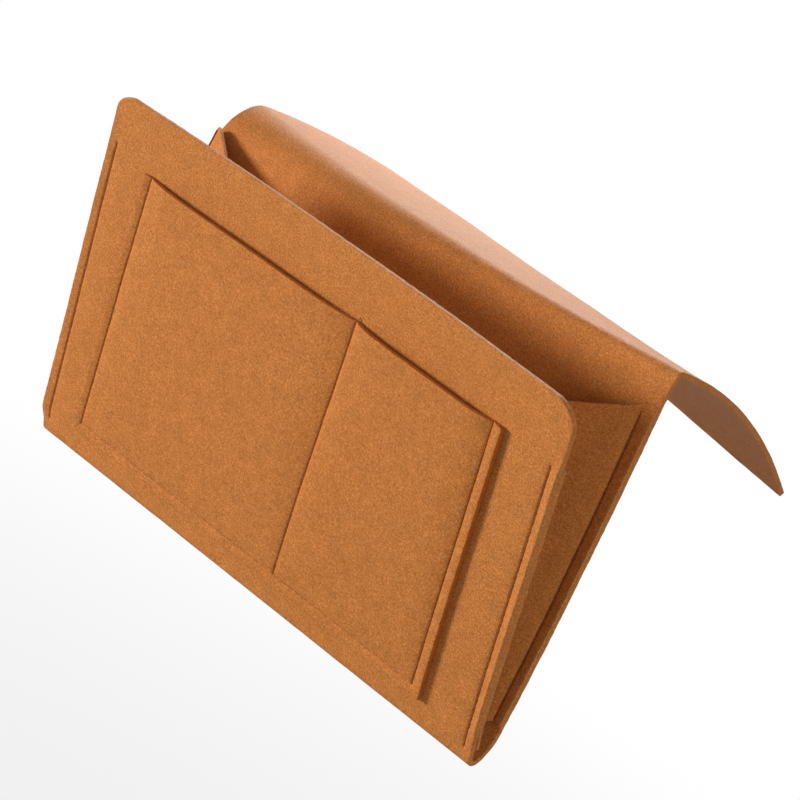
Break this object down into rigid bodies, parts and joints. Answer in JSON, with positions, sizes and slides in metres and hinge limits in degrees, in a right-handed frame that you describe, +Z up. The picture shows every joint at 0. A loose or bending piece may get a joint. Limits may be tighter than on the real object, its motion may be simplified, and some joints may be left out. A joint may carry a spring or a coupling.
{
  "type": "bedside caddy",
  "caption": "Felt caddy that hangs at the side of a bed: an open pouch with folded side gussets, a flat divided front pocket, and a long flap that goes under the mattress.",
  "frame": {"origin": "on the rear face of the back panel, at the middle of its width, 100 mm above the bottom fold", "axes": "+X to the right along the width as seen from the front, +Y from the caddy into the bed, +Z up"},
  "size_m": [0.32, 0.2537, 0.2125],
  "materials": {
    "body_felt": "soft wool felt, matte",
    "gusset_felt": "thin wool felt, matte",
    "pocket_felt": "soft wool felt, matte",
    "sewing_thread": "matte polyester thread"
  },
  "bodies": {
    "back": {"back_panel": "body_felt", "bottom_fold": "body_felt", "gusset_left_rear_flange": "gusset_felt", "gusset_right_rear_flange": "gusset_felt", "seam_left_rear": "sewing_thread", "seam_right_rear": "sewing_thread"},
    "front": {"front_panel": "body_felt", "front_pocket": "pocket_felt", "gusset_left_front_flange": "gusset_felt", "gusset_right_front_flange": "gusset_felt", "seam_left_front": "sewing_thread", "seam_right_front": "sewing_thread", "seam_pocket_edge": "sewing_thread", "seam_pocket_divider": "sewing_thread"},
    "flap": {"mattress_flap": "body_felt"},
    "left_rear_leaf": {"gusset_left_rear_leaf": "gusset_felt"},
    "left_front_leaf": {"gusset_left_front_leaf": "gusset_felt"},
    "right_rear_leaf": {"gusset_right_rear_leaf": "gusset_felt"},
    "right_front_leaf": {"gusset_right_front_leaf": "gusset_felt"}
  },
  "joints": [
    {"name": "pouch_opening", "type": "hinge", "parent": "back", "child": "front", "pos_m": [0, -0.0055, -0.0945], "axis": [1, 0, 0], "range_deg": [-14, 8]},
    {"name": "flap_fold", "type": "hinge", "parent": "back", "child": "flap", "pos_m": [0, -0.0015, 0.091], "axis": [1, 0, 0], "range_deg": [-60, 85]},
    {"name": "left_rear_leaf_fold", "type": "hinge", "parent": "back", "child": "left_rear_leaf", "pos_m": [-0.1535, -0.0043, 0], "axis": [0, 0, -1], "range_deg": [-24.5, 14]},
    {"name": "left_front_leaf_fold", "type": "hinge", "parent": "front", "child": "left_front_leaf", "pos_m": [-0.1535, -0.00663, -0.09491], "axis": [0, -0.342, 0.9397], "range_deg": [-24.5, 14]},
    {"name": "right_rear_leaf_fold", "type": "hinge", "parent": "back", "child": "right_rear_leaf", "pos_m": [0.1535, -0.0043, 0], "axis": [0, 0, 1], "range_deg": [-24.5, 14]},
    {"name": "right_front_leaf_fold", "type": "hinge", "parent": "front", "child": "right_front_leaf", "pos_m": [0.1535, -0.00663, -0.09491], "axis": [0, 0.342, -0.9397], "range_deg": [-24.5, 14]}
  ],
  "couplings": [
    {"joint": "left_rear_leaf_fold", "follows": "pouch_opening", "ratio": 1.7432},
    {"joint": "left_front_leaf_fold", "follows": "pouch_opening", "ratio": 1.7432},
    {"joint": "right_rear_leaf_fold", "follows": "pouch_opening", "ratio": 1.7432},
    {"joint": "right_front_leaf_fold", "follows": "pouch_opening", "ratio": 1.7432}
  ]
}
